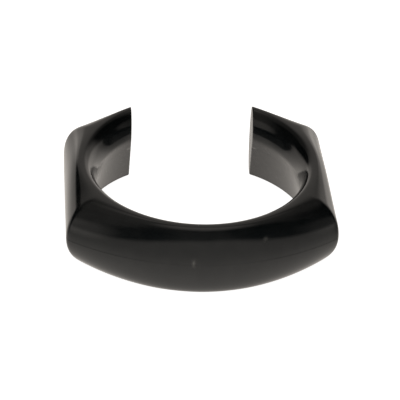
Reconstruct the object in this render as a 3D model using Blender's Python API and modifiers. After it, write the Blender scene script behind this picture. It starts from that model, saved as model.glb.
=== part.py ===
"""Fence insulator collar: a C-shaped clip with a round bore and a domed, faceted outside.

The collar is moulded as an upper and a lower half shell, joined at mid-height. Between them they hold
a spring-steel band, which keeps the clip closed on its post, and four dowels, one in each thick corner
of the outside. The bore is narrowest at a crease above mid-height. Its axis is vertical, the mouth
opens towards +Y, and the collar stands on its lower rim at z = 0, with its bounding box centred on the
Z axis.
"""
import math

import bmesh
import bpy

# Driving dimensions, in metres
POST_RADIUS = 0.03015            # a round post of 60.3 mm, gripped by the crease of the bore
HALF_HEIGHT = 0.0115
CREASE_HEIGHT = 0.0035           # of the crease above mid-height
SIDE_DISTANCE = 0.0392           # from the bore's axis to each side flat
BACK_DISTANCE = 0.0385           # to each flat beside the mouth
FRONT_DISTANCE = 0.0385          # to the middle of the front
FRONT_RADIUS = 0.0669            # of the two arcs of the front
FRONT_ARC_OFFSET = 0.0014        # of each arc's centre past the middle, which leaves a faint ridge
MOUTH_HALF_WIDTH = 0.0181
MATING_GAP = 0.0003              # between faces that touch

# The directions of the flats, in degrees from +X: the side flats draw in a little towards the mouth
SIDE_DIRECTION = 2.2
BACK_DIRECTION = 63.6
FLATS = (
    (SIDE_DIRECTION, SIDE_DISTANCE),
    (BACK_DIRECTION, BACK_DISTANCE),
    (180.0 - BACK_DIRECTION, BACK_DISTANCE),
    (180.0 - SIDE_DIRECTION, SIDE_DISTANCE),
)

# The section: the bore rounds over to its upper rim, tapers out to its lower rim, and each rim is a flat land
UPPER_BORE_RADIUS = POST_RADIUS + 0.0043
LOWER_BORE_RADIUS = POST_RADIUS + 0.0033
RIM_LAND = 0.0005
CORNER_DISTANCE = 0.0478         # where the outline is farthest out
UPPER_FULLNESS = (1.8, 2.3)      # exponent of the dome's superellipse at the flats and at the corners
LOWER_FULLNESS = (2.4, 1.95)

# The spring band and its channel
BAND_RADIUS = POST_RADIUS + 0.0042
BAND_THICKNESS = 0.0008
BAND_HEIGHT = 0.0090
BAND_END_ANGLE = 48.0            # from +Y to each end of the band
CHANNEL_END_MARGIN = 1.0

# The dowels, in degrees from +X
DOWEL_RADIUS = 0.0014
DOWEL_HALF_LENGTH = 0.0040
DOWEL_CHAMFER = 0.0003
DOWEL_CIRCLE_RADIUS = POST_RADIUS + 0.0098
DOWEL_ANGLES = {
    "dowel_front_left": 214.0,
    "dowel_front_right": 326.0,
    "dowel_back_left": 147.0,
    "dowel_back_right": 33.0,
}

# Facets of the curved faces
COLUMN_STEP = 2.5                # degrees, with a column of its own at every corner of the outline
DOME_ROWS = 10
BORE_ROWS = 5
BAND_STEP = 3.0
DOWEL_SIDES = 24
CUTTER_SIZE = 0.2                # larger than the collar in every direction

SHELL_COLOUR = (0.012, 0.012, 0.013, 1.0)
STEEL_COLOUR = (0.55, 0.56, 0.58, 1.0)
DOWEL_COLOUR = (0.70, 0.68, 0.62, 1.0)


def front_centre_depth():
    """How far behind the bore's axis the front arcs' centres lie."""
    return math.sqrt(FRONT_RADIUS ** 2 - FRONT_ARC_OFFSET ** 2) - FRONT_DISTANCE


def front_reach(angle):
    """Distance from the bore's axis to the front arc on the same side, at an angle from +X."""
    turn = math.radians(angle)
    centre_x = -math.copysign(FRONT_ARC_OFFSET, math.cos(turn))
    centre_y = front_centre_depth()
    along = centre_x * math.cos(turn) + centre_y * math.sin(turn)
    return along + math.sqrt(along ** 2 + FRONT_RADIUS ** 2 - centre_x ** 2 - centre_y ** 2)


def outline_radius(angle):
    """Distance from the bore's axis to the outer face at mid-height, at an angle from +X."""
    radius = front_reach(angle)
    for direction, distance in FLATS:
        across = math.cos(math.radians(angle - direction))
        if across > 0.0:
            radius = min(radius, distance / across)
    return radius


def back_corner_angle():
    """The angle of the corner between the right side flat and the flat beside the mouth."""
    span = math.radians(BACK_DIRECTION - SIDE_DIRECTION)
    return SIDE_DIRECTION + math.degrees(math.atan2(BACK_DISTANCE / SIDE_DISTANCE - math.cos(span),
                                                    math.sin(span)))


def front_corner_angle():
    """The angle of the corner between the right side flat and the front, found by halving."""
    flat_side = 0.0
    front_side = -90.0
    for _ in range(40):
        middle = (flat_side + front_side) / 2.0
        if SIDE_DISTANCE / math.cos(math.radians(middle - SIDE_DIRECTION)) < front_reach(middle):
            flat_side = middle
        else:
            front_side = middle
    return middle


def column_angles():
    """Angles of the loft's sections: evenly spaced, except that each corner replaces its neighbour."""
    columns = round(360.0 / COLUMN_STEP)
    angles = [COLUMN_STEP * column for column in range(columns)]
    back = back_corner_angle()
    front = front_corner_angle()
    for corner in (back, 180.0 - back, 180.0 - front, 360.0 + front):
        angles[round(corner / COLUMN_STEP)] = corner
    return angles


def dome_points(outer, rim_radius, fullness):
    """A quarter of the domed section, as (radius, height) from mid-height up to the rim's land.

    Fullness is the exponent's value at the flats and at the farthest corner, and it's blended between.
    """
    land = rim_radius + RIM_LAND
    share = min(max((outer - SIDE_DISTANCE) / (CORNER_DISTANCE - SIDE_DISTANCE), 0.0), 1.0)
    power = 2.0 / (fullness[0] + (fullness[1] - fullness[0]) * share)
    points = []
    for row in range(DOME_ROWS):
        turn = math.pi / 2.0 * row / DOME_ROWS
        radius = land + (outer - land) * math.cos(turn) ** power
        points.append((radius, HALF_HEIGHT * math.sin(turn) ** power))
    points.append((land, HALF_HEIGHT))
    return points


def bore_points():
    """The bore above the crease, a quarter of an ellipse, as (radius, height) from the upper rim down."""
    points = []
    for row in range(BORE_ROWS):
        turn = math.pi / 2.0 * (1.0 - row / BORE_ROWS)
        radius = UPPER_BORE_RADIUS - (UPPER_BORE_RADIUS - POST_RADIUS) * math.cos(turn)
        points.append((radius, CREASE_HEIGHT + (HALF_HEIGHT - CREASE_HEIGHT) * math.sin(turn)))
    return points


def section_points(angle):
    """The collar's closed section at one angle, counter-clockwise from the crease of the bore."""
    outer = outline_radius(angle)
    upper = dome_points(outer, UPPER_BORE_RADIUS, UPPER_FULLNESS)
    lower = dome_points(outer, LOWER_BORE_RADIUS, LOWER_FULLNESS)
    points = [(POST_RADIUS, CREASE_HEIGHT), (LOWER_BORE_RADIUS, -HALF_HEIGHT)]
    points += [(radius, -height) for radius, height in reversed(lower)]
    points += upper[1:]
    points += bore_points()
    return points


def collection(name):
    """A new collection, linked to the scene."""
    made = bpy.data.collections.new(name)
    bpy.context.scene.collection.children.link(made)
    return made


def material(name, colour, roughness, metallic):
    """A plain Principled material."""
    made = bpy.data.materials.new(name)
    made.use_nodes = True
    shader = made.node_tree.nodes["Principled BSDF"]
    shader.inputs["Base Color"].default_value = colour
    shader.inputs["Roughness"].default_value = roughness
    shader.inputs["Metallic"].default_value = metallic
    return made


def object_from_bmesh(name, bm, into):
    """Turns a bmesh into an object in a collection, smooth where its faces meet at under 25 degrees."""
    mesh = bpy.data.meshes.new(name)
    bm.to_mesh(mesh)
    bm.free()
    mesh.shade_smooth()
    mesh.set_sharp_from_angle(angle=math.radians(25.0))
    made = bpy.data.objects.new(name, mesh)
    into.objects.link(made)
    return made


def loft_ring(name, into, angles, section_at, closed):
    """Lofts the closed sections at the given angles round Z, capping both ends of an open ring."""
    bm = bmesh.new()
    rings = []
    for angle in angles:
        turn = math.radians(angle)
        ring = []
        for radius, height in section_at(angle):
            ring.append(bm.verts.new((radius * math.cos(turn), radius * math.sin(turn), height)))
        rings.append(ring)
    if closed:
        rings.append(rings[0])
    for ring, following in zip(rings, rings[1:]):
        for index in range(len(ring)):
            after = (index + 1) % len(ring)
            bm.faces.new((ring[index], following[index], following[after], ring[after]))
    if not closed:
        bm.faces.new(rings[0])
        bm.faces.new(reversed(rings[-1]))
    bmesh.ops.recalc_face_normals(bm, faces=bm.faces)
    return object_from_bmesh(name, bm, into)


def hide_cutter(cutter):
    """Marks an object as a cutter only."""
    cutter.hide_render = True
    cutter.display_type = "WIRE"


def box_cutter(name, into, low, high):
    """A box between two corners."""
    bm = bmesh.new()
    bmesh.ops.create_cube(bm, size=1.0)
    for vert in bm.verts:
        for axis in range(3):
            vert.co[axis] = low[axis] if vert.co[axis] < 0.0 else high[axis]
    cutter = object_from_bmesh(name, bm, into)
    hide_cutter(cutter)
    return cutter


def cylinder(name, into, radius, half_length, angle):
    """An upright cylinder on the dowel circle, centred on the parting plane."""
    bm = bmesh.new()
    bmesh.ops.create_cone(bm, cap_ends=True, segments=DOWEL_SIDES, radius1=radius, radius2=radius,
                          depth=2.0 * half_length)
    made = object_from_bmesh(name, bm, into)
    turn = math.radians(angle)
    made.location = (DOWEL_CIRCLE_RADIUS * math.cos(turn), DOWEL_CIRCLE_RADIUS * math.sin(turn), 0.0)
    return made


def band_section(clearance):
    """The band's rectangular section, or its channel's with a clearance, for loft_ring."""
    half_thickness = BAND_THICKNESS / 2.0 + clearance
    half_height = BAND_HEIGHT / 2.0 + clearance
    inner = BAND_RADIUS - half_thickness
    outer = BAND_RADIUS + half_thickness
    corners = [(inner, half_height), (inner, -half_height), (outer, -half_height), (outer, half_height)]
    return lambda angle: corners


def band_angles(end_angle):
    """Angles along an open band, from the left end round the front to the right end."""
    first = 90.0 + end_angle
    last = 450.0 - end_angle
    steps = round((last - first) / BAND_STEP)
    return [first + (last - first) * step / steps for step in range(steps + 1)]


def cut(target, cutter):
    """Subtracts a cutter from an object."""
    boolean = target.modifiers.new("cut " + cutter.name, "BOOLEAN")
    boolean.operation = "DIFFERENCE"
    boolean.solver = "EXACT"
    boolean.object = cutter


def build_shell(name, into, cutters):
    """One half of the collar: the whole ring less the other half, the mouth and the inner recesses."""
    shell = loft_ring(name, into, column_angles(), section_points, closed=True)
    for cutter in cutters:
        cut(shell, cutter)
    return shell


def build_band(into):
    """The sealed spring band."""
    return loft_ring("spring_band", into, band_angles(BAND_END_ANGLE), band_section(0.0), closed=False)


def build_dowel(name, angle, into):
    """One dowel, chamfered at both ends."""
    dowel = cylinder(name, into, DOWEL_RADIUS, DOWEL_HALF_LENGTH, angle)
    bevel = dowel.modifiers.new("end chamfers", "BEVEL")
    bevel.width = DOWEL_CHAMFER
    bevel.segments = 1
    bevel.limit_method = "ANGLE"
    bevel.angle_limit = math.radians(60.0)
    return dowel


def build_shared_cutters(into):
    """The mouth, the band's channel and the dowels' sockets, which both shells share."""
    mouth = box_cutter("mouth cutter", into, (-MOUTH_HALF_WIDTH, 0.0, -CUTTER_SIZE),
                       (MOUTH_HALF_WIDTH, CUTTER_SIZE, CUTTER_SIZE))
    channel = loft_ring("channel cutter", into, band_angles(BAND_END_ANGLE - CHANNEL_END_MARGIN),
                        band_section(MATING_GAP), closed=False)
    hide_cutter(channel)
    cutters = [mouth, channel]
    for name, angle in DOWEL_ANGLES.items():
        socket = cylinder(name + " socket", into, DOWEL_RADIUS + MATING_GAP,
                          DOWEL_HALF_LENGTH + MATING_GAP, angle)
        hide_cutter(socket)
        cutters.append(socket)
    return cutters


def build_half_space(name, into, sign):
    """A cutter that removes everything on one side of the parting plane, and half the mating gap."""
    edge = -sign * MATING_GAP / 2.0
    low = (-CUTTER_SIZE, -CUTTER_SIZE, min(edge, sign * CUTTER_SIZE))
    high = (CUTTER_SIZE, CUTTER_SIZE, max(edge, sign * CUTTER_SIZE))
    return box_cutter(name, into, low, high)


def middle_of_depth():
    """The Y of the bounding box's centre, between the front and the outer corners of the mouth."""
    slant = math.radians(BACK_DIRECTION)
    back = (BACK_DISTANCE - MOUTH_HALF_WIDTH * math.cos(slant)) / math.sin(slant)
    return (back - FRONT_DISTANCE) / 2.0


def main():
    """Builds the collar and stands it on its lower rim."""
    for old in list(bpy.data.objects):
        bpy.data.objects.remove(old, do_unlink=True)
    parts = collection("fence_insulator")
    cutters = collection("cutters")

    shared = build_shared_cutters(cutters)
    below = build_half_space("lower half cutter", cutters, -1.0)
    above = build_half_space("upper half cutter", cutters, 1.0)
    upper = build_shell("upper_shell", parts, [below] + shared)
    lower = build_shell("lower_shell", parts, [above] + shared)
    upper.data.materials.append(material("upper_shell_plastic", SHELL_COLOUR, 0.18, 0.0))
    lower.data.materials.append(material("lower_shell_plastic", SHELL_COLOUR, 0.18, 0.0))

    band = build_band(parts)
    band.data.materials.append(material("spring_steel", STEEL_COLOUR, 0.3, 1.0))
    for name, angle in DOWEL_ANGLES.items():
        dowel = build_dowel(name, angle, parts)
        dowel.data.materials.append(material(name + "_nylon", DOWEL_COLOUR, 0.5, 0.0))

    stand = bpy.data.objects.new("collar stand", None)
    stand.location = (0.0, -middle_of_depth(), HALF_HEIGHT)
    parts.objects.link(stand)
    for piece in list(parts.objects) + list(cutters.objects):
        if piece is not stand:
            piece.parent = stand


main()
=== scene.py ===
"""Looks of the fence insulator collar: fine half shells, materials, studio light and camera.

The collar's bore is vertical, its mouth opens towards +Y, and it stands on its lower rim. The two CAD
half shells are replaced by finer lofts of the same shape, with softened edges, a mould's slight
waviness, a gate mark, a nick and a hairline joint. The spring band and the dowels inside keep their
shapes and get better materials.
"""
import math

import bmesh
import bpy
from mathutils import Matrix, Vector, noise


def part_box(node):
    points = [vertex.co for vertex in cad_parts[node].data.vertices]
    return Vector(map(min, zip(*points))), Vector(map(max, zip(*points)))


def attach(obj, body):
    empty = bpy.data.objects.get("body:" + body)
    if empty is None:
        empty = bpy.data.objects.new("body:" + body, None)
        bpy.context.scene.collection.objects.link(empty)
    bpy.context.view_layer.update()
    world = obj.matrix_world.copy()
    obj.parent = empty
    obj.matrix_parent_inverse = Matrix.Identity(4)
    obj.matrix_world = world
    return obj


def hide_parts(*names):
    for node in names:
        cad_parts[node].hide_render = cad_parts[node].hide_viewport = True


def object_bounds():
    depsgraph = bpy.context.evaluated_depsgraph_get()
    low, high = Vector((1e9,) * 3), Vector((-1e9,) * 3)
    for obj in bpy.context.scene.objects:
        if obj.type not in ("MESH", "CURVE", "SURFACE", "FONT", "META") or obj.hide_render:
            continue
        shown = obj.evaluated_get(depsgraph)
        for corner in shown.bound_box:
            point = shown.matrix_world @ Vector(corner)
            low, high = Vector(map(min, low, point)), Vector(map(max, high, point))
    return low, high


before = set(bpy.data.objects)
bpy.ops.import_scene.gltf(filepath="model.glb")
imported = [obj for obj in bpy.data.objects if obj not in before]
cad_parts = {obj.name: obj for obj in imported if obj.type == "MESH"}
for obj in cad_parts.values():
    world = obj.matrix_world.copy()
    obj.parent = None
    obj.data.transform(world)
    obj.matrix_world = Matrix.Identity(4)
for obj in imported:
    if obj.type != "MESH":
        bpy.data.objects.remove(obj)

CAD_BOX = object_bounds()

# What measure() doesn't read from the CAD parts, as in the CAD
SIDE_DIRECTION = 2.2             # degrees from +X
BACK_DIRECTION = 63.6
FRONT_RADIUS = 0.0669
FRONT_ARC_OFFSET = 0.0014
CREASE_RISE = 0.0035
RIM_LAND = 0.0005
CORNER_DISTANCE = 0.0478
UPPER_FULLNESS = (1.8, 2.3)      # the dome's exponent at the flats and at the farthest corner
LOWER_FULLNESS = (2.4, 1.95)

# The fine surface
COLUMN_STEP = 0.5                # degrees
FAN_COLUMNS = 30                 # sections that turn from radial to square at each end of the mouth
FAN_TURN = 45.0                  # degrees that they turn through
CHANNEL_STEP = 1.0               # degrees, along the channel's cutter
SOCKET_SIDES = 48
DOME_ROWS = 26
WALL_ROWS = 12                   # on the bore's wall, below mid-height
UPPER_WALL_ROWS = 4              # between mid-height and the crease
BORE_ROWS = 16
FILLET_ROWS = 5
RIM_FILLET = 0.0006
END_FILLET = 0.0003
JOINT_HALF_GAP = 0.00001
OUTER_CHAMFER = 0.00005          # along the joint, outside and in the bore
INNER_CHAMFER = 0.00001
CORNER_SHARPNESS = 110.0         # exponent that rounds the outline's corners
WAVE_DEPTH = 0.00004             # the moulding's waviness, always inwards
WAVE_SCALE = 90.0
MARK_DEPTH = 0.00012
MARKS = (                        # right, up from mid-height, half width, half height, share of the depth
    (-0.0037, 0.0006, 0.0004, 0.0009, 1.0),
    (0.0174, 0.0066, 0.0006, 0.0006, 0.5),
)
CLEARANCE = 0.0003               # of the recesses round the band and the dowels
SHARP_ANGLE = math.radians(35.0)
CREASE_SOFTNESS = 0.0001         # how far from the lower wall a point still counts as on it
HEIGHT_TOLERANCE = 0.00001       # how far from a plane a CAD vertex still counts as in it
LEAST_FACING = 0.05              # a flat that faces a column less than this doesn't bound it

# Plastic colours, and the names of the attributes that say where it is worn
PLASTIC_DARK = (0.0044, 0.0056, 0.0062, 1.0)
PLASTIC_LIGHT = (0.0074, 0.0086, 0.0090, 1.0)
PLASTIC_WORN = (0.030, 0.029, 0.028, 1.0)
# The next colour is a painted reflection: the pale floor mirrored in the bore's lower wall
PLASTIC_PAINTED_SHEEN = (0.028, 0.027, 0.026, 1.0)
PLASTIC_DUST = (0.080, 0.078, 0.072, 1.0)
# Plastic colours, and the names of the attributes that say where it is worn and where the bore's lower wall
# gets a painted reflection
WEAR = "wear"
RUBBED_AND_SHEEN = "rubbed_and_sheen"
MARKED = "marked"

# Patterns, as a noise texture's scale per metre, detail and roughness
CLOUD = (230.0, 4.0, 0.5)
SPECKS = (5200.0, 2.0, 0.7)
PATCHES = (480.0, 5.0, 0.65)
SMEARS = (620.0, 5.0, 0.6)
STREAKS = (1.0, 3.0, 0.6)
RIPPLE = (420.0, 2.0, 0.5)
FINE_GRAIN = (1500.0, 3.0, 0.5)
HEAT_TINT = (160.0, 3.0, 0.5)
PITS = (3400.0, 2.0, 0.5)
NYLON_CLOUD = (700.0, 3.0, 0.5)
PAPER_GRAIN = (900.0, 3.0, 0.5)

# Streaks, as the pattern's turn and scale, and the range of noise that becomes a streak
SCRATCHES = (
    ((0.0, 0.0, 0.35), (70.0, 2600.0, 2100.0), 0.63, 0.70),
    ((0.5, 0.9, 1.4), (90.0, 2300.0, 2500.0), 0.65, 0.72),
)
ROLLING_LINES = ((0.0, 0.0, 0.0), (30.0, 30.0, 9000.0), 0.3, 0.7)
TURNING_LINES = ((0.0, 0.0, 0.0), (150.0, 150.0, 12000.0), 0.3, 0.7)

# Ranges of noise that a ramp stretches to a whole range
WIDE = (0.25, 0.75)
MIDDLE = (0.3, 0.7)
SPECK_RANGE = (0.66, 0.74)
PIT_RANGE = (0.68, 0.74)

# The finishes. A bump is a strength and a distance
SPECK_SHARE = 0.25
PATCH_SHARES = (0.55, 1.0)
PLASTIC_ROUGHNESS = (0.06, 0.12)
SCRATCH_ROUGHNESS = 0.10
WORN_ROUGHNESS = 0.12
RUBBED_ROUGHNESS = 0.14
PLASTIC_IOR = 1.5
RIPPLE_BUMP = (0.20, 0.00004)
GRAIN_BUMP = (0.15, 0.00002)
SCRATCH_BUMP = (0.12, 0.00001)
STEEL_COOL = (0.47, 0.48, 0.50, 1.0)
STEEL_WARM = (0.60, 0.59, 0.56, 1.0)
STEEL_PIT = (0.22, 0.21, 0.20, 1.0)
STEEL_ROUGHNESS = (0.22, 0.40)
ROLLING_BUMP = (0.15, 0.00001)
PIT_BUMP = (0.3, 0.00002)
NYLON_DARK = (0.66, 0.63, 0.55, 1.0)
NYLON_LIGHT = (0.76, 0.74, 0.68, 1.0)
NYLON_ROUGHNESS = (0.42, 0.56)
NYLON_GLOW_WEIGHT = 0.1          # light scattered under the surface
NYLON_GLOW_SCALE = 0.001
TURNING_BUMP = (0.2, 0.00001)
PAPER_DARK = (0.78, 0.78, 0.78, 1.0)
PAPER_LIGHT = (0.82, 0.82, 0.82, 1.0)
PAPER_ROUGHNESS = 0.8
PAPER_BUMP = (0.1, 0.00005)

# The camera, and the studio
CAMERA_AZIMUTH = -5.50
CAMERA_ELEVATION = 33.0
CAMERA_ROLL = 2.72
CAMERA_LENS = 600.0
CAMERA_SENSOR = 36.0
PICTURE_WIDTH = 0.1183           # metres across the picture at the collar
FRAMING_RIGHT = 0.00084          # from the bore's middle to the middle of the picture
FRAMING_UP = -0.00178
FLOOR_HALF_SIZE = 1.5
FLOOR_CELLS = 8
FLOOR_GLOW = 1.0
STUDIO_COLOUR = (1.0, 0.935, 0.865, 1.0)
STUDIO_AMBIENT = 0.10
STUDIO_BANDS = (                 # by elevation: degrees where it begins, where it is full, and strength
    (6.0, -4.0, 0.43),
    (-12.0, -55.0, 0.45),
    (45.0, 75.0, 0.20),
)
# Soft round patches of light on the studio's walls, or of shade where the strength is negative
STUDIO_PANELS = (                # azimuth from +Y towards +X, elevation, inner and outer angle, strength
    (2.0, 12.0, 18.0, 42.0, 0.42),
    (-17.0, 4.0, 6.0, 18.0, 0.35),
    (-114.0, 8.0, 6.0, 26.0, 0.40),
    (108.0, 8.0, 6.0, 22.0, 0.14),
    (36.0, 5.0, 9.0, 28.0, 0.40),
    (172.0, 62.0, 6.0, 32.0, 0.65),
    (8.0, 66.0, 6.0, 22.0, 0.50),
    (-107.0, 35.0, 8.0, 28.0, 0.12),
    (-75.0, 25.0, 10.0, 28.0, -0.12),
    (75.0, 30.0, 12.0, 30.0, -0.12),
    (-46.0, 8.0, 6.0, 18.0, -0.30),
    (-80.0, -8.0, 6.0, 22.0, -0.30),
    (82.0, -14.0, 8.0, 28.0, -0.30),
    (130.0, 20.0, 15.0, 35.0, -0.12),
    (-140.0, 15.0, 10.0, 28.0, -0.08),
)


def corner_points(node):
    """A CAD node's vertices."""
    return [vert.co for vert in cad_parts[node].data.vertices]


def measure():
    """The collar's dimensions, read from the CAD parts."""
    low, high = CAD_BOX
    band_low, band_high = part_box("spring_band")
    axis = Vector(((band_low.x + band_high.x) / 2.0, band_low.y + (band_high.x - band_low.x) / 2.0))

    def radii(node, height=None):
        chosen = [co for co in corner_points(node) if height is None or abs(co.z - height) < HEIGHT_TOLERANCE]
        return [(co.xy - axis).length for co in chosen]

    def reach(direction):
        turn = math.radians(direction)
        return max((co.xy - axis).dot(Vector((math.cos(turn), math.sin(turn)))) for co in upper)

    upper = corner_points("upper_shell")
    return {
        "axis": axis,
        "middle": (low.z + high.z) / 2.0,
        "half_height": (high.z - low.z) / 2.0,
        "crease": min(radii("upper_shell")),
        "upper_rim": min(radii("upper_shell", high.z)),
        "lower_rim": min(radii("lower_shell", low.z)),
        "front": axis.y - low.y,
        "side": reach(SIDE_DIRECTION),
        "back": reach(BACK_DIRECTION),
        "mouth": min(abs(co.x - axis.x) for co in upper if co.y > axis.y),
        "band_inner": min(radii("spring_band")),
        "band_outer": max(radii("spring_band")),
    }


SIZE = measure()


def along_line(origin, direction, centre, radius):
    """Distance from a point inside a circle to the circle, in a direction."""
    offset = origin - centre
    along = offset.dot(direction)
    return math.sqrt(along * along - offset.length_squared + radius * radius) - along


def to_circle(column, radius):
    """Distance along a column to a circle round the bore's axis."""
    return along_line(*column, Vector((0.0, 0.0)), radius)


def to_outline(column):
    """Distance along a column to the outline, its corners rounded by a soft minimum."""
    origin, direction = column
    base = origin.length
    depth = math.sqrt(FRONT_RADIUS ** 2 - FRONT_ARC_OFFSET ** 2) - SIZE["front"]
    arcs = []
    flats = []
    for side in (-1.0, 1.0):
        centre = Vector((side * FRONT_ARC_OFFSET, depth))
        arcs.append(base + along_line(origin, direction, centre, FRONT_RADIUS))
        for angle, distance in ((SIDE_DIRECTION, SIZE["side"]), (BACK_DIRECTION, SIZE["back"])):
            normal = Vector((side * math.cos(math.radians(angle)), math.sin(math.radians(angle))))
            across = direction.dot(normal)
            if across > LEAST_FACING:
                flats.append(base + (distance - origin.dot(normal)) / across)
    reaches = [min(arcs)] + flats
    nearest = min(reaches)
    total = sum((nearest / reach) ** CORNER_SHARPNESS for reach in reaches)
    return nearest * total ** (-1.0 / CORNER_SHARPNESS) - base


def lower_wall_radius(height):
    """The bore's radius below the crease, at a height from mid-height."""
    share = (CREASE_RISE - height) / (CREASE_RISE + SIZE["half_height"])
    return SIZE["crease"] + (SIZE["lower_rim"] - SIZE["crease"]) * share


def upper_bore(column):
    """The bore of the upper half, as (distance, height): up the wall to the crease, then over the rim."""
    points = [(to_circle(column, lower_wall_radius(JOINT_HALF_GAP)) + INNER_CHAMFER, JOINT_HALF_GAP)]
    start = JOINT_HALF_GAP + INNER_CHAMFER
    for row in range(UPPER_WALL_ROWS + 1):
        height = start + (CREASE_RISE - start) * row / UPPER_WALL_ROWS
        points.append((to_circle(column, lower_wall_radius(height)), height))
    for row in range(1, BORE_ROWS + 1):
        turn = math.pi / 2.0 * row / BORE_ROWS
        radius = SIZE["upper_rim"] - (SIZE["upper_rim"] - SIZE["crease"]) * math.cos(turn)
        height = CREASE_RISE + (SIZE["half_height"] - CREASE_RISE) * math.sin(turn)
        points.append((to_circle(column, radius), height))
    return points


def lower_bore(column):
    """The bore of the lower half, as (distance, depth below mid-height), ending in a small fillet."""
    points = [(to_circle(column, lower_wall_radius(-JOINT_HALF_GAP)) + INNER_CHAMFER, JOINT_HALF_GAP)]
    start = JOINT_HALF_GAP + INNER_CHAMFER
    stop = SIZE["half_height"] - RIM_FILLET
    for row in range(WALL_ROWS + 1):
        depth = start + (stop - start) * row / WALL_ROWS
        points.append((to_circle(column, lower_wall_radius(-depth)), depth))
    centre = points[-1][0] + RIM_FILLET
    for row in range(1, FILLET_ROWS + 1):
        turn = math.pi / 2.0 * (2.0 - row / FILLET_ROWS)
        points.append((centre + RIM_FILLET * math.cos(turn), stop + RIM_FILLET * math.sin(turn)))
    return points


def dome(column, rim_radius, fullness):
    """The domed outside of one half, as (distance, height) from the rim's land to the joint."""
    height = SIZE["half_height"]
    land = to_circle(column, rim_radius + RIM_LAND)
    outer = to_outline(column)
    share = (column[0].length + outer - SIZE["side"]) / (CORNER_DISTANCE - SIZE["side"])
    power = 2.0 / (fullness[0] + (fullness[1] - fullness[0]) * min(max(share, 0.0), 1.0))
    last_turn = math.asin(((JOINT_HALF_GAP + OUTER_CHAMFER) / height) ** (1.0 / power))
    points = []
    for row in range(DOME_ROWS + 1):
        turn = math.pi / 2.0 + (last_turn - math.pi / 2.0) * row / DOME_ROWS
        points.append((land + (outer - land) * math.cos(turn) ** power, height * math.sin(turn) ** power))
    points.append((outer - OUTER_CHAMFER, JOINT_HALF_GAP))
    return points


def upper_section(column):
    """The upper half's section along a column, from the joint inside to the joint outside."""
    return upper_bore(column) + dome(column, SIZE["upper_rim"], UPPER_FULLNESS)


def lower_section(column):
    """The lower half's section along a column, from the joint inside to the joint outside."""
    return lower_bore(column) + dome(column, SIZE["lower_rim"], LOWER_FULLNESS)


def section_normals(points):
    """Outward directions of a half section's points. Along the joint they point straight in or out."""
    normals = []
    for index in range(len(points)):
        before = points[max(index - 1, 0)]
        after = points[min(index + 1, len(points) - 1)]
        along = Vector(after) - Vector(before)
        normals.append(Vector((-along.y, along.x)).normalized())
    normals[0] = normals[1] = Vector((-1.0, 0.0))
    normals[-1] = normals[-2] = Vector((1.0, 0.0))
    return normals


def build_columns():
    """The lines along which the sections lie, as (origin, direction, inset), from right mouth to left."""
    turn_point = SIZE["mouth"] + END_FILLET
    right = []
    for row in range(FILLET_ROWS, 0, -1):
        turn = math.pi / 2.0 * row / FILLET_ROWS
        origin = Vector((SIZE["mouth"] + END_FILLET * (1.0 - math.sin(turn)), turn_point))
        right.append((origin, Vector((0.0, 1.0)), END_FILLET * (1.0 - math.cos(turn))))
    for step in range(FAN_COLUMNS):
        turn = math.radians(90.0 - FAN_TURN * step / FAN_COLUMNS)
        right.append((Vector((turn_point, turn_point)), Vector((math.cos(turn), math.sin(turn))), 0.0))
    columns = list(right)
    steps = round((360.0 - 2.0 * FAN_TURN) / COLUMN_STEP)
    for step in range(steps + 1):
        turn = math.radians(90.0 - FAN_TURN - COLUMN_STEP * step)
        columns.append((Vector((0.0, 0.0)), Vector((math.cos(turn), math.sin(turn))), 0.0))
    for origin, direction, inset in reversed(right):
        columns.append((Vector((-origin.x, origin.y)), Vector((-direction.x, direction.y)), inset))
    return columns


def mark_depth(place):
    """How deep the gate's dimple and the nick are at a place. They also show on the bore's wall behind."""
    depth = 0.0
    if place.y < SIZE["axis"].y:
        for right, up, half_width, half_height, share in MARKS:
            across = (place.x - right) / half_width
            along = (place.z - SIZE["middle"] - up) / half_height
            depth += share * MARK_DEPTH * math.exp(-across * across - along * along)
    return depth


def wave_depth(place):
    """How far the moulding has drawn in at a place."""
    return WAVE_DEPTH * (0.5 + 0.5 * noise.noise(place * WAVE_SCALE)) + mark_depth(place)


def shade(mesh):
    """Smooth shading, apart from the sharp edges."""
    mesh.shade_smooth()
    mesh.set_sharp_from_angle(angle=SHARP_ANGLE)


def link(name, bm):
    """Turns a bmesh into an object in the scene."""
    mesh = bpy.data.meshes.new(name)
    bm.to_mesh(mesh)
    bm.free()
    shade(mesh)
    made = bpy.data.objects.new(name, mesh)
    bpy.context.scene.collection.objects.link(made)
    return made


def loft(name, rings):
    """Lofts rings of points, with a face across each end."""
    bm = bmesh.new()
    made = [[bm.verts.new(point) for point in ring] for ring in rings]
    for ring, following in zip(made, made[1:]):
        for index in range(len(ring)):
            after = (index + 1) % len(ring)
            bm.faces.new((ring[index], ring[after], following[after], following[index]))
    bm.faces.new(made[0])
    bm.faces.new(reversed(made[-1]))
    bmesh.ops.recalc_face_normals(bm, faces=bm.faces)
    return link(name, bm)


def build_shell(name, side, section):
    """The fine loft of one half of the collar. Side is 1 for the upper half and -1 for the lower."""
    rings = []
    for origin, direction, inset in build_columns():
        points = section((origin, direction))
        ring = []
        for (distance, height), normal in zip(points, section_normals(points)):
            flat = SIZE["axis"] + origin + direction * distance
            place = Vector((flat.x, flat.y, SIZE["middle"] + side * height))
            depth = inset + wave_depth(place)
            moved = flat - direction * normal.x * depth
            ring.append((moved.x, moved.y, SIZE["middle"] + side * (height - normal.y * depth)))
        rings.append(ring)
    return loft(name, rings)


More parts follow.
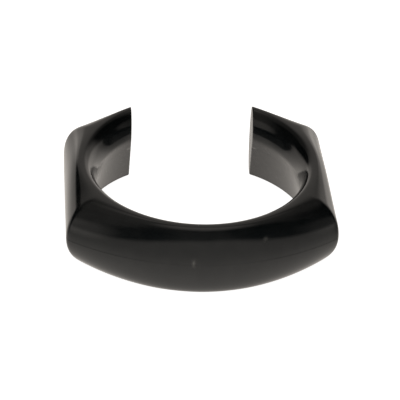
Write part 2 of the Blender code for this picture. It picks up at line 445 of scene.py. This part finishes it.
def build_channel():
    """A cutter round the spring band, with clearance all round."""
    low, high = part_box("spring_band")
    inner = SIZE["band_inner"] - CLEARANCE
    outer = SIZE["band_outer"] + CLEARANCE
    corners = ((inner, high.z + CLEARANCE), (inner, low.z - CLEARANCE),
               (outer, low.z - CLEARANCE), (outer, high.z + CLEARANCE))
    bearings = []
    for co in corner_points("spring_band"):
        offset = co.xy - SIZE["axis"]
        bearings.append(abs(math.atan2(offset.x, -offset.y)))
    reach = max(bearings) + math.asin(CLEARANCE / inner)
    rings = []
    steps = round(2.0 * math.degrees(reach) / CHANNEL_STEP)
    for step in range(steps + 1):
        turn = -math.pi / 2.0 - reach + 2.0 * reach * step / steps
        across = Vector((math.cos(turn), math.sin(turn)))
        rings.append([(*(SIZE["axis"] + across * radius), height) for radius, height in corners])
    return loft("channel_cutter", rings)


def build_socket(node):
    """A cutter round one dowel, with clearance all round."""
    low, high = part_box(node)
    bm = bmesh.new()
    radius = (high.x - low.x) / 2.0 + CLEARANCE
    bmesh.ops.create_cone(bm, cap_ends=True, segments=SOCKET_SIDES, radius1=radius, radius2=radius,
                          depth=high.z - low.z + 2.0 * CLEARANCE,
                          matrix=Matrix.Translation((low + high) / 2.0))
    return link(node + "_cutter", bm)


def cut(target, cutters):
    """Cuts the recesses into a shell, and applies the cuts."""
    for cutter in cutters:
        boolean = target.modifiers.new(cutter.name, "BOOLEAN")
        boolean.operation = "DIFFERENCE"
        boolean.solver = "EXACT"
        boolean.object = cutter
    evaluated = target.evaluated_get(bpy.context.evaluated_depsgraph_get())
    mesh = bpy.data.meshes.new_from_object(evaluated)
    target.modifiers.clear()
    old = target.data
    target.data = mesh
    bpy.data.meshes.remove(old)
    shade(mesh)


def mark_wear_and_sheen(piece):
    """Records where a shell is worn at the mouth and in the marks, and where the bore's lower wall gets a
    painted reflection of the pale floor.
    """
    mesh = piece.data
    wear = mesh.attributes.new(WEAR, "FLOAT", "POINT")
    rubbed_and_sheen = mesh.attributes.new(RUBBED_AND_SHEEN, "FLOAT", "POINT")
    marked = mesh.attributes.new(MARKED, "FLOAT", "POINT")
    for vert in mesh.vertices:
        offset = vert.co.xy - SIZE["axis"]
        height = vert.co.z - SIZE["middle"]
        radius = offset.length
        past_end = max(abs(offset.x) - SIZE["mouth"], 0.0)
        wear.data[vert.index].value = math.exp(-past_end / END_FILLET) if offset.y > 0.0 else 0.0
        # The bore's lower wall, below the crease, is marked for a painted reflection of the pale floor; it is
        # also rougher there
        wall = lower_wall_radius(height)
        inside = height < CREASE_RISE + CREASE_SOFTNESS and radius < wall + CREASE_SOFTNESS
        rubbed_and_sheen.data[vert.index].value = 1.0 if inside else 0.0
        marked.data[vert.index].value = min(mark_depth(vert.co) / MARK_DEPTH, 1.0)


def add_node(tree, kind, inputs=None, **settings):
    """Adds a shader node. Inputs maps a socket to a plain value or to the output that feeds it."""
    made = tree.nodes.new(kind)
    for name, value in settings.items():
        setattr(made, name, value)
    for socket, value in (inputs or {}).items():
        if isinstance(value, bpy.types.NodeSocket):
            tree.links.new(value, made.inputs[socket])
        else:
            made.inputs[socket].default_value = value
    return made


def noise_at(tree, place, pattern):
    """A noise pattern's value at a place."""
    scale, detail, roughness = pattern
    return add_node(tree, "ShaderNodeTexNoise", {"Vector": place, "Scale": scale, "Detail": detail,
                                                 "Roughness": roughness}).outputs["Fac"]


def ramp(tree, value, low, high, to_low=0.0, to_high=1.0):
    """Maps a value from one range to another, smoothly and without going past it."""
    return add_node(tree, "ShaderNodeMapRange",
                    {"Value": value, "From Min": low, "From Max": high, "To Min": to_low, "To Max": to_high},
                    interpolation_type="SMOOTHSTEP").outputs["Result"]


def combine(tree, operation, first, second):
    """Two values joined by a Math node."""
    return add_node(tree, "ShaderNodeMath", {0: first, 1: second}, operation=operation).outputs["Value"]


def blend(tree, share, first, second):
    """Two colours blended by a share that varies over the surface."""
    mixed = add_node(tree, "ShaderNodeMix", data_type="RGBA")
    for index, value in ((0, share), (6, first), (7, second)):
        if isinstance(value, bpy.types.NodeSocket):
            tree.links.new(value, mixed.inputs[index])
        else:
            mixed.inputs[index].default_value = value
    return mixed.outputs[2]


def streaks(tree, place, pattern):
    """Fine random lines that run one way."""
    turn, scale, low, high = pattern
    stretched = add_node(tree, "ShaderNodeMapping", {"Vector": place, "Rotation": turn, "Scale": scale})
    return ramp(tree, noise_at(tree, stretched.outputs["Vector"], STREAKS), low, high)


def new_material(name):
    """A material with its shader, its node tree, and the object's own coordinates."""
    made = bpy.data.materials.new(name)
    made.use_nodes = True
    tree = made.node_tree
    place = add_node(tree, "ShaderNodeTexCoord").outputs["Object"]
    return made, tree, tree.nodes["Principled BSDF"], place


def bump(tree, shader, layers):
    """Chains bump layers, as (height, strength, distance), into a shader's normal."""
    normal = None
    for height, strength, distance in layers:
        inputs = {"Height": height, "Strength": strength, "Distance": distance}
        if normal is not None:
            inputs["Normal"] = normal
        normal = add_node(tree, "ShaderNodeBump", inputs).outputs["Normal"]
    tree.links.new(normal, shader.inputs["Normal"])


def black_plastic():
    """Glossy black moulded plastic: mottled, faintly scratched, dulled at the mouth, and rougher on the
    bore's lower wall, where a painted reflection lightens it in patches.
    """
    made, tree, shader, place = new_material("glossy_black_plastic")
    wear = add_node(tree, "ShaderNodeAttribute", attribute_name=WEAR).outputs["Fac"]
    rubbed_and_sheen = add_node(tree, "ShaderNodeAttribute", attribute_name=RUBBED_AND_SHEEN).outputs["Fac"]
    marked = add_node(tree, "ShaderNodeAttribute", attribute_name=MARKED).outputs["Fac"]

    cloud = noise_at(tree, place, CLOUD)
    speck = ramp(tree, noise_at(tree, place, SPECKS), *SPECK_RANGE)
    scratches = combine(tree, "MAXIMUM", *(streaks(tree, place, pattern) for pattern in SCRATCHES))
    patches = ramp(tree, noise_at(tree, place, PATCHES), *WIDE, *PATCH_SHARES)
    # Painted reflection of the pale floor on the bore's lower wall, broken into patches; the same mask also
    # roughens the wall
    scuff_and_sheen = combine(tree, "MULTIPLY", rubbed_and_sheen, patches)

    colour = blend(tree, ramp(tree, cloud, *MIDDLE), PLASTIC_DARK, PLASTIC_LIGHT)
    colour = blend(tree, combine(tree, "MULTIPLY", wear, cloud), colour, PLASTIC_WORN)
    # Painted reflection: lightens the bore's lower wall in patches
    colour = blend(tree, scuff_and_sheen, colour, PLASTIC_PAINTED_SHEEN)
    colour = blend(tree, combine(tree, "MULTIPLY", speck, SPECK_SHARE), colour, PLASTIC_DUST)
    colour = blend(tree, marked, colour, PLASTIC_DUST)
    tree.links.new(colour, shader.inputs["Base Color"])

    gloss = ramp(tree, noise_at(tree, place, SMEARS), *WIDE, *PLASTIC_ROUGHNESS)
    for share, added in ((scratches, SCRATCH_ROUGHNESS), (wear, WORN_ROUGHNESS), (scuff_and_sheen, RUBBED_ROUGHNESS)):
        gloss = combine(tree, "ADD", gloss, combine(tree, "MULTIPLY", share, added))
    tree.links.new(gloss, shader.inputs["Roughness"])
    shader.inputs["IOR"].default_value = PLASTIC_IOR

    bump(tree, shader, ((noise_at(tree, place, RIPPLE), *RIPPLE_BUMP),
                        (noise_at(tree, place, FINE_GRAIN), *GRAIN_BUMP),
                        (scratches, *SCRATCH_BUMP)))
    return made


def spring_steel():
    """Cold-rolled spring strip: fine lines along its length, with faint heat tint and small pits."""
    made, tree, shader, place = new_material("cold_rolled_spring_steel")
    lines = streaks(tree, place, ROLLING_LINES)
    pits = ramp(tree, noise_at(tree, place, PITS), *PIT_RANGE)
    colour = blend(tree, ramp(tree, noise_at(tree, place, HEAT_TINT), *MIDDLE), STEEL_COOL, STEEL_WARM)
    colour = blend(tree, pits, colour, STEEL_PIT)
    tree.links.new(colour, shader.inputs["Base Color"])
    shader.inputs["Metallic"].default_value = 1.0
    tree.links.new(ramp(tree, lines, 0.0, 1.0, *STEEL_ROUGHNESS), shader.inputs["Roughness"])
    bump(tree, shader, ((lines, *ROLLING_BUMP), (pits, *PIT_BUMP)))
    return made


def natural_nylon():
    """Turned natural nylon: warm off-white, slightly cloudy, with fine turning lines."""
    made, tree, shader, place = new_material("natural_nylon")
    lines = streaks(tree, place, TURNING_LINES)
    colour = blend(tree, ramp(tree, noise_at(tree, place, NYLON_CLOUD), *MIDDLE), NYLON_DARK, NYLON_LIGHT)
    tree.links.new(colour, shader.inputs["Base Color"])
    tree.links.new(ramp(tree, lines, 0.0, 1.0, *NYLON_ROUGHNESS), shader.inputs["Roughness"])
    shader.inputs["Subsurface Weight"].default_value = NYLON_GLOW_WEIGHT
    shader.inputs["Subsurface Scale"].default_value = NYLON_GLOW_SCALE
    bump(tree, shader, ((lines, *TURNING_BUMP),))
    return made


def dress(node, material):
    """Gives a CAD node a better material."""
    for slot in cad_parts[node].material_slots:
        slot.material = material


def build_camera():
    """The camera, aimed so that the collar lies in the picture as it does in the photograph."""
    azimuth = math.radians(CAMERA_AZIMUTH)
    elevation = math.radians(CAMERA_ELEVATION)
    back = Vector((math.sin(azimuth) * math.cos(elevation), -math.cos(azimuth) * math.cos(elevation),
                   math.sin(elevation)))
    turned = back.to_track_quat("Z", "Y").to_matrix() @ Matrix.Rotation(math.radians(CAMERA_ROLL), 3, "Z")
    distance = PICTURE_WIDTH * CAMERA_LENS / CAMERA_SENSOR
    middle = Vector((*SIZE["axis"], SIZE["middle"]))
    aim = middle + turned.col[0] * FRAMING_RIGHT + turned.col[1] * FRAMING_UP
    data = bpy.data.cameras.new("camera")
    data.lens = CAMERA_LENS
    data.sensor_width = CAMERA_SENSOR
    camera = bpy.data.objects.new("camera", data)
    camera.matrix_world = Matrix.Translation(aim + back * distance) @ turned.to_4x4()
    bpy.context.scene.collection.objects.link(camera)
    bpy.context.scene.camera = camera


def build_floor():
    """A wide white floor. The plastic mirrors the studio's lower half in its place."""
    bm = bmesh.new()
    bmesh.ops.create_grid(bm, x_segments=FLOOR_CELLS, y_segments=FLOOR_CELLS, size=FLOOR_HALF_SIZE)
    floor = link("floor", bm)
    made, tree, shader, place = new_material("white_floor_paper")
    grain = noise_at(tree, place, PAPER_GRAIN)
    tree.links.new(blend(tree, grain, PAPER_DARK, PAPER_LIGHT), shader.inputs["Base Color"])
    shader.inputs["Roughness"].default_value = PAPER_ROUGHNESS
    shader.inputs["Emission Color"].default_value = (1.0, 1.0, 1.0, 1.0)
    shader.inputs["Emission Strength"].default_value = FLOOR_GLOW
    bump(tree, shader, ((grain, *PAPER_BUMP),))
    floor.data.materials.append(made)
    floor.visible_glossy = False
    floor.visible_shadow = False


def build_world():
    """The studio round the collar: white paper below, a lit backdrop behind, dark room at the sides."""
    world = bpy.data.worlds.new("studio")
    world.use_nodes = True
    tree = world.node_tree
    way = add_node(tree, "ShaderNodeTexCoord").outputs["Generated"]
    height = add_node(tree, "ShaderNodeSeparateXYZ", {0: way}).outputs["Z"]
    total = STUDIO_AMBIENT
    for low, high, strength in STUDIO_BANDS:
        band = ramp(tree, height, math.sin(math.radians(low)), math.sin(math.radians(high)), 0.0, strength)
        total = combine(tree, "ADD", total, band)
    for azimuth, elevation, inner, outer, strength in STUDIO_PANELS:
        turn = math.radians(azimuth)
        rise = math.radians(elevation)
        aim = (math.sin(turn) * math.cos(rise), math.cos(turn) * math.cos(rise), math.sin(rise))
        facing = add_node(tree, "ShaderNodeVectorMath", {0: way, 1: aim}, operation="DOT_PRODUCT")
        panel = ramp(tree, facing.outputs["Value"], math.cos(math.radians(outer)),
                     math.cos(math.radians(inner)), 0.0, strength)
        total = combine(tree, "ADD", total, panel)
    total = combine(tree, "MAXIMUM", total, 0.0)
    background = tree.nodes["Background"]
    background.inputs["Color"].default_value = STUDIO_COLOUR
    tree.links.new(total, background.inputs["Strength"])
    bpy.context.scene.world = world


dowels = [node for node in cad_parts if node.startswith("dowel")]
cutters = [build_channel()] + [build_socket(node) for node in dowels]
upper = build_shell("upper_moulding", 1.0, upper_section)
lower = build_shell("lower_moulding", -1.0, lower_section)
plastic = black_plastic()
for piece, node in ((upper, "upper_shell"), (lower, "lower_shell")):
    cut(piece, cutters)
    piece.data.materials.clear()
    piece.data.materials.append(plastic)
    mark_wear_and_sheen(piece)
    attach(piece, "root")
    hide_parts(node)
for cutter in cutters:
    bpy.data.objects.remove(cutter, do_unlink=True)

dress("spring_band", spring_steel())
nylon = natural_nylon()
for node in dowels:
    dress(node, nylon)

build_floor()
build_world()
build_camera()
bpy.context.scene.view_settings.view_transform = "Standard"
